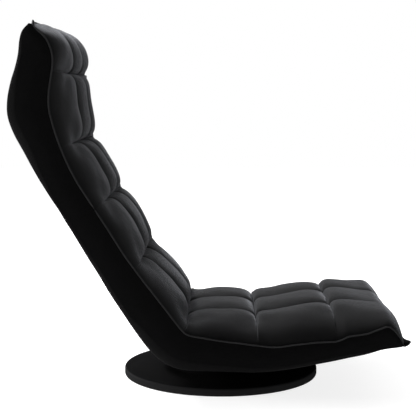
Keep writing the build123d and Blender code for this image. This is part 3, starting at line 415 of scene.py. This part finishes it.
def puckers(away, beside, wander):
    """The gathers beside a line of stitching, by the distances away from it and along it."""
    drift, pace = PUCKER_DRIFT
    phase = 2 * pi * beside / PUCKER_SPACING + drift * np.sin(pace * wander)
    return np.exp(-away / PUCKER_REACH) * np.sin(phase)


def tuft_heights(lines, y, middle, outer):
    """The height of each point over the seam, and the way that each line of them stands off it."""
    to_seam = eased_in(np.abs(y), *FLANK)
    heights, leans = [], []
    for row, share in lines:
        (_, low_lean, low_row), (_, high_lean, high_row) = STITCHED_ROWS[row:row + 2]
        highest, lean, crest, fullness = TUFTED_ROWS[row]
        place = np.interp(row + share, *zip(*OUTER_CREST))
        low, high, top = (over_columns(MM * np.array(line), middle, outer, place)
                          for line in (low_row, high_row, crest))
        if row > 0:
            low = low + (top - low) * FLANK_FADE * to_seam
        if row < len(TUFTED_ROWS) - 1:
            high = high + (top - high) * FLANK_FADE * to_seam
        sharp = crown(share, highest, fullness)
        soft = sin(pi * share) ** 2
        level = low + (high - low) * share
        rise = top - low - (high - low) * highest
        heights.append(level + rise * (sharp + (soft - sharp) * to_seam))
        leans.append(np.interp(share, (0, highest, 1), (low_lean, lean, high_lean)))
    around = np.pad(leans, LEAN_SPAN // 2, mode="edge")
    lean = np.radians(np.convolve(around, np.ones(LEAN_SPAN) / LEAN_SPAN, mode="valid"))
    return np.array(heights), lean[:, None]


def quilt_points(lines):
    """The grid of the quilt's points, which are held and sewn, how free they are, and their heights."""
    y, middle, outer = across_columns()
    height, lean = tuft_heights(lines, y, middle, outer)
    row, share = np.array(lines).T
    row = row.astype(int)
    length = BORDERS[row + 1] - BORDERS[row]
    along = (BORDERS[row] + share * length)[:, None]
    from_row = (np.minimum(share, 1 - share) * length)[:, None]
    from_groove = np.abs(np.abs(y) - COLUMN_HALF_WIDTH)
    from_seam = QUILT_HALF_WIDTH - np.abs(y)
    off_seam = eased_in(from_seam, 0.0, SEAM_HOLD)
    loose = eased_in(from_row, 0.0, ROW_HOLD) * eased_in(from_groove, 0.0, ROW_HOLD) * off_seam
    on_top = 1 - eased_in(np.abs(y), *FLANK)
    gathers = puckers(from_row, y, along) * on_top + puckers(from_groove, along, GROOVE_PACE * y)
    height = height + DENT * dents(along, y) * loose + PUCKER * gathers * off_seam
    pit = np.interp(along, BORDERS, PITS)
    height = height - pit * np.exp(-(from_row ** 2 + from_groove ** 2) / PIT_RADIUS ** 2)
    seam = profile_at(along[:, 0])
    x = seam[:, 0:1] + height * np.cos(lean)
    z = seam[:, 1:2] + height * np.sin(lean)
    wander = edge_wander(seam[:, :2])[:, None]
    z = z + wander * eased_in(np.abs(y), EDGE_WANDER_START, QUILT_HALF_WIDTH)[None]
    points = np.stack([x, np.broadcast_to(y, x.shape), z], -1)
    in_row = from_row[:, 0] < ON_LINE
    stitch = np.round(1 - eased_in(np.abs(y), *STITCH_FADE), 2)
    in_line = (from_groove < ON_LINE) | (from_seam < ON_LINE)
    held = in_row[:, None] | in_line[None]
    sewn = np.maximum(np.outer(in_row, stitch), in_line[None])
    sewn[[0, -1]] = 1.0
    at_hem = np.where(row == 0, eased_in(share, *FREE_FROM_HEM), 1.0)[:, None]
    free = at_hem * (1 - FLANK_HOLD * eased_in(np.abs(y), *FLANK_HOLD_REACH))
    return points, held, sewn, free, height


def tufted_quilt(name, first, last):
    points, held, sewn, free, height = quilt_points(row_lines(first, last))
    quilt = cloth_grid(name, points, lengths_over(points))
    # The tuft heights and the sewn lines set the cloth's painted highlight on the crowns and painted shade
    # along the seams
    set_point_values(quilt, "crown", height / height.max())
    set_point_values(quilt, "seam", sewn)
    hold_creases(quilt, sewn, QUILT_CREASE)
    swell(quilt, held, sewn, free, pressure=3.0, spare=0.02, cap=0.010)
    thicken(quilt, QUILT_THICKNESS)
    return quilt


# Side, bottom and rear panels

def edge_rounding(along):
    """Width of the rounded strip beside the bottom and rear panels."""
    stops, radii = zip(*EDGE_RADII)
    return np.interp(along, [nearest_along(point) for point in stops], MM * np.array(radii))


def panel_points(start, end):
    """The grid of points round the cover, from the right seam under to the left one, and its seams."""
    along = np.linspace(start, end, round((end - start) / PANEL_CELL) + 1)
    profile = profile_at(along)
    seam, opposite = profile[:, :2], profile[:, 2:]
    seam = seam + np.stack([np.zeros_like(along), edge_wander(seam)], -1)
    depth = np.linalg.norm(opposite - seam, axis=1)
    rounding = np.minimum(edge_rounding(along), LARGEST_ROUNDING * depth)
    side = np.linspace(0, 1, SIDE_POINTS)[:, None]
    turn = np.linspace(SEAM_TURN, pi / 2, TURN_POINTS)[1:, None]
    over = (np.sin(turn) - sin(SEAM_TURN)) / (1 - sin(SEAM_TURN))
    inward = 1 - np.cos(turn) / cos(SEAM_TURN)
    flat = np.linspace(0, 1, FLAT_POINTS)[1:, None]
    bulge = SIDE_BULGE * np.sin(pi * side) * np.minimum(1, depth / FULL_BULGE_DEPTH)
    down = np.vstack([side * (depth - rounding), depth - rounding + rounding * over])
    out = np.vstack([COVER_HALF_WIDTH + bulge, COVER_HALF_WIDTH - rounding * inward])
    across = (COVER_HALF_WIDTH - rounding) * (1 - 2 * flat)
    down = np.vstack([down, depth + 0 * across[:-1], down[::-1]])
    y = -np.vstack([out, across[:-1], -out[::-1]])
    share = (down / depth)[..., None]
    flat_points = seam[None] + share * (opposite - seam)[None]
    points = np.stack([flat_points[..., 0], y, flat_points[..., 1]], -1)
    seams = np.zeros(points.shape[:2])
    seams[[0, SIDE_POINTS - 1, -SIDE_POINTS, -1]] = 1.0
    held = seams.copy()
    held[:, [0, -1]] = 1.0
    return points, held, seams


def cover_panels(name, start, end):
    points, held, seams = panel_points(start, end)
    cover = cloth_grid(name, points, lengths_over(points))
    # A little painted highlight all over, and painted shade along the panel seams
    set_point_values(cover, "crown", np.full(seams.size, PANEL_CROWN_HIGHLIGHT))
    set_point_values(cover, "seam", seams)
    hold_creases(cover, seams, PANEL_CREASE)
    swell(cover, held > 0, held, np.ones(held.shape), pressure=0.8, spare=0.004, cap=0.004)
    thicken(cover, PANEL_THICKNESS)
    return cover


# Piping and hems

def swept_roll(name, line, wide, high, stand, tip=1.0):
    """A roll of cloth along a line, wide by high, its height measured along the stand direction.

    Over the last eighth at each end its size goes over to the tip's share, and then it closes.
    """
    line = np.asarray(line, float)
    ahead = np.gradient(line, axis=0)
    ahead /= np.linalg.norm(ahead, axis=1, keepdims=True)
    stand = np.broadcast_to(stand, line.shape)
    beside = np.cross(ahead, stand)
    beside /= np.linalg.norm(beside, axis=1, keepdims=True)
    upright = np.cross(beside, ahead)
    turn = np.linspace(0, 2 * pi, ROLL_POINTS)
    place = np.linspace(-1, 1, len(line))
    taper = 1 - (1 - tip) * eased_in(np.abs(place), ROLL_TIP_START, 1.0)
    taper[[0, -1]] *= ROLL_END
    taper[[1, -2]] *= ROLL_SHOULDER
    ring = np.cos(turn)[None, :, None] * wide * beside[:, None]
    ring = ring + np.sin(turn)[None, :, None] * high * upright[:, None]
    points = line[:, None] + ring * taper[:, None, None]
    roll = cloth_grid(name, points, lengths_over(points))
    active(roll)
    bpy.ops.object.mode_set(mode="EDIT")
    bpy.ops.mesh.select_all(action="SELECT")
    bpy.ops.mesh.remove_doubles(threshold=MERGE_DISTANCE)
    bpy.ops.mesh.select_all(action="DESELECT")
    bpy.ops.mesh.select_mode(type="EDGE")
    bpy.ops.mesh.select_non_manifold(extend=False)
    bpy.ops.mesh.edge_face_add()
    bpy.ops.mesh.select_all(action="SELECT")
    bpy.ops.mesh.normals_make_consistent(inside=False)
    bpy.ops.object.mode_set(mode="OBJECT")
    roll.data.shade_smooth()
    # Painted highlight all over the roll, and no painted seam shade
    set_point_values(roll, "crown", np.full(len(roll.data.vertices), ROLL_CROWN_HIGHLIGHT))
    set_point_values(roll, "seam", np.zeros(len(roll.data.vertices)))
    return roll


def seam_line(start, end, side):
    """The line of the piping on one side, between two distances along the seam."""
    along = np.linspace(start, end, round((end - start) / PIPING_STEP) + 1)
    seam = profile_at(along)[:, :2]
    z = seam[:, 1] + edge_wander(seam)
    return np.stack([seam[:, 0], np.full(len(along), side * PIPING_HALF_WIDTH), z], -1)


# Finishes

class Value:
    """A number that varies over a surface. Arithmetic on it adds Math nodes to its finish."""

    def __init__(self, finish, socket):
        self.finish = finish
        self.socket = socket

    def math(self, operation, *others):
        sockets = {0: self, **dict(enumerate(others, 1))}
        return self.finish.node("ShaderNodeMath", {"operation": operation}, sockets)

    def __add__(self, other):
        return self.math("ADD", other)

    def __sub__(self, other):
        return self.math("SUBTRACT", other)

    def __rsub__(self, other):
        return self.math("MULTIPLY_ADD", -1.0, other)

    def __mul__(self, other):
        return self.math("MULTIPLY", other)

    def __pow__(self, other):
        return self.math("POWER", other)

    def __abs__(self):
        return self.math("ABSOLUTE")

    __radd__ = __add__
    __rmul__ = __mul__

    def sine(self):
        return self.math("SINE")


class Shading:
    """A tree of shader nodes."""

    def __init__(self, tree, shader):
        self.tree = tree
        self.shader = tree.nodes[shader]

    def node(self, kind, settings=None, sockets=None, output=0):
        """Adds a node, with its settings set first, and returns one of its outputs."""
        node = self.tree.nodes.new(kind)
        for name, value in (settings or {}).items():
            setattr(node, name, value)
        for name, value in (sockets or {}).items():
            if isinstance(value, Value):
                self.tree.links.new(value.socket, node.inputs[name])
            else:
                node.inputs[name].default_value = value
        return Value(self, node.outputs[output])

    def feed(self, socket, value):
        self.tree.links.new(value.socket, self.shader.inputs[socket])

    def part(self, vector, axis):
        return self.node("ShaderNodeSeparateXYZ", None, {0: vector}, axis)

    def steps(self, value, start, end, low, high):
        """A smooth step from low to high as the value goes from start to end."""
        sockets = {"Value": value, "From Min": start, "From Max": end, "To Min": low, "To Max": high}
        return self.node("ShaderNodeMapRange", {"interpolation_type": "SMOOTHSTEP"}, sockets)


class Finish(Shading):
    """A procedural material with a Principled shader."""

    def __init__(self, name, **constants):
        self.material = bpy.data.materials.new(name)
        self.material.use_nodes = True
        super().__init__(self.material.node_tree, "Principled BSDF")
        for socket, value in constants.items():
            self.shader.inputs[SOCKETS[socket]].default_value = value

    def spot(self):
        return self.node("ShaderNodeTexCoord", output="Object")

    def noise(self, where, scale, detail=3.0, rough=0.5):
        sockets = {"Vector": where, "Scale": scale, "Detail": detail, "Roughness": rough}
        return self.node("ShaderNodeTexNoise", None, sockets)

    def between(self, share, low, high):
        """A colour between two others."""
        sockets = {0: share, 6: (*low, 1.0), 7: (*high, 1.0)}
        return self.node("ShaderNodeMix", {"data_type": "RGBA"}, sockets, output=2)

    def bump(self, height, strength, distance):
        sockets = {"Height": height, "Strength": strength, "Distance": distance}
        self.feed("Normal", self.node("ShaderNodeBump", None, sockets))


SOCKETS = {
    "metallic": "Metallic",
    "roughness": "Roughness",
    "sheen": "Sheen Weight",
    "sheen_roughness": "Sheen Roughness",
    "sheen_tint": "Sheen Tint",
    "specular": "Specular IOR Level",
    "emission": "Emission Color",
    "emission_strength": "Emission Strength",
}


def woven_cloth(name, dark, pale, thread, sheen):
    """Soft woven cloth: fine threads on the cloth's own lengths, with a painted highlight that pales it
    towards the tops of the tufts and painted shade that darkens it along the seams.
    """
    tint = (0.9, 0.92, 1.0, 1.0)
    finish = Finish(name, sheen=sheen, sheen_roughness=0.3, sheen_tint=tint, specular=0.04)
    lengths = finish.node("ShaderNodeUVMap", {"uv_map": "cloth_lengths"})
    down = finish.part(lengths, "X") * (pi / thread)
    over = finish.part(lengths, "Y") * (pi / thread)
    weave = abs((down + over).sine()) * abs((down - over).sine())
    spot = finish.spot()
    mottle = finish.noise(spot, scale=26.0, detail=4.0, rough=0.6)
    slub = finish.noise(spot, scale=420.0, detail=2.0)
    crown_highlight = finish.node("ShaderNodeAttribute", {"attribute_name": "crown"}, output="Fac")
    sewn = finish.node("ShaderNodeAttribute", {"attribute_name": "seam"}, output="Fac")
    # Painted highlight: paler where the tufts stand highest; painted shade: darker along the sewn seams
    share = weave * 0.3 + mottle * 0.5 + slub * 0.2 + crown_highlight * 0.25 - 0.2 - sewn * 0.3
    finish.feed("Base Color", finish.between(share, dark, pale))
    finish.feed("Roughness", 0.78 + mottle * 0.14 + weave * 0.06)
    finish.bump(weave * 0.7 + slub * 0.5 + mottle * 0.3, strength=0.35, distance=0.0006)
    return finish.material


def powder_coat(name, colour, gloss):
    """Baked powder coat with a fine orange peel."""
    finish = Finish(name)
    spot = finish.spot()
    peel = finish.noise(spot, scale=900.0, detail=2.0)
    cloudy = finish.noise(spot, scale=14.0)
    low = tuple(0.8 * part for part in colour)
    high = tuple(1.25 * part for part in colour)
    finish.feed("Base Color", finish.between(cloudy, low, high))
    finish.feed("Roughness", gloss + peel * 0.1 + cloudy * 0.08)
    finish.bump(peel, strength=0.25, distance=0.0004)
    return finish.material


def rimmed_coat(name, dark, pale, radius):
    """Matt powder coat on a turned disc, paler round its rim as a painted reflection of the bright floor.
    """
    finish = Finish(name, specular=0.0)
    spot = finish.spot()
    from_axis = (finish.part(spot, "X") ** 2.0 + finish.part(spot, "Y") ** 2.0) ** 0.5
    # Painted reflection: the band round the rim is painted paler
    rim_reflection = finish.steps(from_axis, start=radius - 0.003, end=radius - 0.001, low=0.0, high=1.0)
    peel = finish.noise(spot, scale=900.0, detail=2.0)
    cloudy = finish.noise(spot, scale=14.0)
    finish.feed("Base Color", finish.between(cloudy * 0.15 + rim_reflection * 0.8, dark, pale))
    finish.feed("Roughness", 0.6 + peel * 0.1 + cloudy * 0.08)
    finish.bump(peel, strength=0.25, distance=0.0004)
    return finish.material


def plated_steel(name, colour, rough):
    """Bright metal with a fine grain and cloudy patches."""
    finish = Finish(name, metallic=1.0)
    spot = finish.spot()
    grain = finish.noise(spot, scale=700.0)
    cloudy = finish.noise(spot, scale=30.0)
    low = tuple(0.82 * part for part in colour)
    finish.feed("Base Color", finish.between(cloudy, low, colour))
    finish.feed("Roughness", rough + grain * 0.12 + cloudy * 0.1)
    finish.bump(grain, strength=0.08, distance=0.0002)
    return finish.material


def felted_pad(name, dark, pale):
    """Pressed felt of short fibres."""
    finish = Finish(name, specular=0.2)
    spot = finish.spot()
    fibre = finish.noise(spot, scale=500.0, detail=5.0, rough=0.7)
    finish.feed("Base Color", finish.between(fibre, dark, pale))
    finish.feed("Roughness", 0.86 + fibre * 0.12)
    finish.bump(fibre, strength=0.5, distance=0.0008)
    return finish.material


def ribbed_webbing(name, dark, pale):
    """Flat woven strap: ribs across its length and a plain selvedge grain."""
    finish = Finish(name, specular=0.1)
    spot = finish.spot()
    rib_spacing = 0.0022
    ribs = abs((finish.part(spot, "Y") * (pi / rib_spacing)).sine())
    grain = finish.noise(spot, scale=600.0)
    finish.feed("Base Color", finish.between(ribs * 0.6 + grain * 0.4, dark, pale))
    finish.feed("Roughness", 0.75 + grain * 0.15)
    finish.bump(ribs + grain * 0.4, strength=0.5, distance=0.0006)
    return finish.material


quilt_cloth = woven_cloth(
    "quilt_cloth", (0.006, 0.006, 0.0062), (0.016, 0.016, 0.0164), thread=0.0016, sheen=0.25)
# The same black cloth as the quilt, painted darker: painted shade on the panels that face away from the
# lamps
panel_cloth_painted_shade = woven_cloth(
    "panel_cloth_painted_shade", (0.0024, 0.0024, 0.0025), (0.0050, 0.0050, 0.0052), thread=0.0016, sheen=0.01)
# The same black cloth, painted paler: a painted highlight on the piping and the top hem
piping_cloth_painted_highlight = woven_cloth(
    "piping_cloth_painted_highlight", (0.016, 0.016, 0.0164), (0.034, 0.034, 0.0348), thread=0.0014, sheen=0.1)
base_coat = rimmed_coat("base_coat", (0.006, 0.006, 0.0062), (0.018, 0.018, 0.0184), radius=0.225)
frame_coat = powder_coat("frame_coat", (0.02, 0.02, 0.021), gloss=0.38)
zinc_plate = plated_steel("zinc_plate", (0.62, 0.63, 0.65), rough=0.32)
bearing_steel = plated_steel("bearing_steel", (0.55, 0.55, 0.56), rough=0.14)
cage_plastic = powder_coat("cage_plastic", (0.32, 0.31, 0.28), gloss=0.45)
strap_webbing = ribbed_webbing("strap_webbing", (0.012, 0.012, 0.012), (0.05, 0.05, 0.05))
pad_felt = felted_pad("pad_felt", (0.006, 0.006, 0.006), (0.02, 0.02, 0.02))


# Soft pieces

def bend_across(lower_body, upper_body, pivot, fold, reach):
    """The two bodies that a cover joins, and the points between which it bends from one to the other."""
    before, after = reach
    return lower_body, upper_body, pivot - before * fold, pivot + after * fold


split_along = nearest_along(STITCHED_ROWS[LAST_LOWER_ROW][0])
full_along = ALONG[-1]
LOWER = bend_across("seat", "back", RECLINE_PIVOT, RECLINE_FOLD, RECLINE_REACH)
UPPER = bend_across("back", "head", HEAD_PIVOT, HEAD_FOLD, HEAD_REACH)


def dress(obj, cloth, bend, replaced):
    """Gives a piece its cloth, parents it to the body it rides on or else bakes its place into its points,
    and hides the solids it replaces.
    """
    obj.data.materials.clear()
    obj.data.materials.append(cloth)
    if isinstance(bend, str):
        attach(obj, bend)
    else:
        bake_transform(obj)
    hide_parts(*replaced)


seat_quilt = tufted_quilt("quilt_over_seat_and_back", 0, LAST_LOWER_ROW)
dress(seat_quilt, quilt_cloth, LOWER, ("seat_quilt", "seat_foam"))
head_quilt = tufted_quilt("quilt_over_back_and_head", LAST_LOWER_ROW, len(TUFTED_ROWS))
dress(head_quilt, quilt_cloth, UPPER, ("back_quilt", "head_quilt"))

seat_cover = cover_panels("panels_round_seat_and_back", 0, split_along)
dress(seat_cover, panel_cloth_painted_shade, LOWER,
      ("seat_side_panel_left", "seat_side_panel_right", "seat_bottom_panel"))
head_cover = cover_panels("panels_round_back_and_head", split_along, full_along)
dress(head_cover, panel_cloth_painted_shade, UPPER,
      ("back_side_panel_left", "back_side_panel_right", "back_rear_panel", "back_foam",
       "head_side_panel_left", "head_side_panel_right", "head_rear_panel", "head_foam"))

for side, hand in ((1, "left"), (-1, "right")):
    outward = (0, side, 0)
    lower_line = seam_line(PIPING_INSET, split_along, side)
    lower_cord = swept_roll(
        f"piping_seat_and_back_{hand}", lower_line, PIPING_RADIUS, PIPING_RADIUS, outward)
    dress(lower_cord, piping_cloth_painted_highlight, LOWER, ("seat_piping",))
    upper_line = seam_line(split_along, full_along - PIPING_INSET, side)
    upper_cord = swept_roll(
        f"piping_back_and_head_{hand}", upper_line, PIPING_RADIUS, PIPING_RADIUS, outward)
    dress(upper_cord, piping_cloth_painted_highlight, UPPER, ("back_piping", "head_piping"))


def hem_line(x, z, tip_x, tip_z):
    """The line of a hem from side to side, drawn out into a small tip at each corner."""
    y = np.linspace(-PIPING_HALF_WIDTH, PIPING_HALF_WIDTH, HEM_POINTS)
    tip = eased_in(np.abs(y), HEM_TIP_START, PIPING_HALF_WIDTH)
    return np.stack([x + tip * tip_x, y, z + tip * tip_z], -1)


# The front hem takes the darker panel cloth, with its painted shade
front_line = hem_line(x=0.3905, z=0.1205, tip_x=0.0045, tip_z=0.0015)
front_hem = swept_roll("front_hem", front_line, wide=0.0066, high=0.0032, stand=(-0.5, 0, 0.87), tip=1.6)
dress(front_hem, panel_cloth_painted_shade, "seat", ("seat_front_hem",))
# The top hem takes the paler piping cloth, with its painted highlight
top_line = hem_line(x=-0.3945, z=0.7965, tip_x=0.0055, tip_z=0.0025)
top_hem = swept_roll("top_hem", top_line, wide=0.0032, high=0.0064, stand=(-0.2, 0, 0.98), tip=0.75)
dress(top_hem, piping_cloth_painted_highlight, "head", ("head_top_hem",))


def webbing_straps(name, node, body):
    """The straps that carry the foam, with rounded woven edges."""
    straps = bpy.data.objects.new(name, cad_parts[node].data.copy())
    scene.collection.objects.link(straps)
    active(straps)
    bpy.ops.object.mode_set(mode="EDIT")
    bpy.ops.mesh.select_all(action="SELECT")
    bpy.ops.mesh.remove_doubles(threshold=MERGE_DISTANCE)
    bpy.ops.object.mode_set(mode="OBJECT")
    edges = straps.modifiers.new("edges", "BEVEL")
    edges.width = STRAP_EDGE
    edges.segments = 2
    apply_modifiers(straps)
    dress(straps, strap_webbing, body, (node,))


webbing_straps("straps_under_seat", "seat_webbing", "seat")
webbing_straps("straps_behind_back", "back_webbing", "back")


# Steel, base and bearing keep their solids and get their finishes: tubes and bars are painted,
# and what has no finish of its own is zinc plated
FINISHES = {
    "base_floor_pad": pad_felt,
    "base_plate": base_coat,
    "seat_mount_dish": base_coat,
    "swivel_balls": bearing_steel,
    "swivel_ball_cage": cage_plastic,
}
for name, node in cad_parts.items():
    if node.hide_render:
        continue
    painted = any(word in name for word in ("rail", "bar", "loop"))
    node.data.materials.clear()
    node.data.materials.append(FINISHES.get(name) or (frame_coat if painted else zinc_plate))


# Floor, light and camera

def soft_light(name, place, aim, size, power):
    """A rectangular lamp that the camera doesn't see."""
    lamp = bpy.data.lights.new(name, "AREA")
    lamp.shape = "RECTANGLE"
    lamp.size, lamp.size_y = size
    lamp.energy = power
    obj = bpy.data.objects.new(name, lamp)
    obj.location = place
    obj.rotation_euler = (Vector(aim) - Vector(place)).to_track_quat("-Z", "Y").to_euler()
    obj.visible_camera = False
    scene.collection.objects.link(obj)


bpy.ops.object.select_all(action="DESELECT")
bpy.ops.mesh.primitive_plane_add(size=14, location=(0, 0, 0))
floor = bpy.context.active_object
floor.name = "floor"
white = (1, 1, 1, 1)
paper = Finish("floor_paper", specular=0.1, roughness=0.9, emission=white, emission_strength=0.84)
cloudy = paper.noise(paper.spot(), scale=3.0)
paper.feed("Base Color", paper.between(cloudy, (0.36, 0.36, 0.36), (0.4, 0.4, 0.4)))
floor.data.materials.append(paper.material)

soft_light("key_light", place=(1.6, 1.9, 2.2), aim=(-0.1, 0, 0.35), size=(1.2, 1.2), power=8)
soft_light("top_light", place=(-1.5, 1.8, 2.4), aim=(0.1, 0, 0.2), size=(1.6, 1.6), power=250)
soft_light("rear_light", place=(-2.4, -0.25, 0.8), aim=(-0.3, 0, 0.4), size=(0.6, 1.4), power=36)

# A studio that is dark behind the camera and bright behind the chair
world = bpy.data.worlds.new("studio")
scene.world = world
world.use_nodes = True
studio = Shading(world.node_tree, "Background")
sight = studio.node("ShaderNodeTexCoord", output="Generated")
glow = studio.steps(studio.part(sight, "Y"), start=-0.3, end=0.6, low=0.04, high=1.5)
glow = glow * studio.steps(studio.part(sight, "Z"), start=0.0, end=0.6, low=0.3, high=1.0)
seen = studio.node("ShaderNodeLightPath", output="Is Camera Ray")
studio.feed("Strength", glow + seen * (1.0 - glow))
studio.shader.inputs["Color"].default_value = white
scene.view_settings.view_transform = "Standard"

lens = bpy.data.cameras.new("camera")
lens.sensor_width = 36
lens.lens = 96.04
camera = bpy.data.objects.new("camera", lens)
camera.location = (-0.0110, -2.5655, 0.6538)
camera.rotation_euler = (radians(84.047), 0, radians(0.4206))
scene.collection.objects.link(camera)
scene.camera = camera
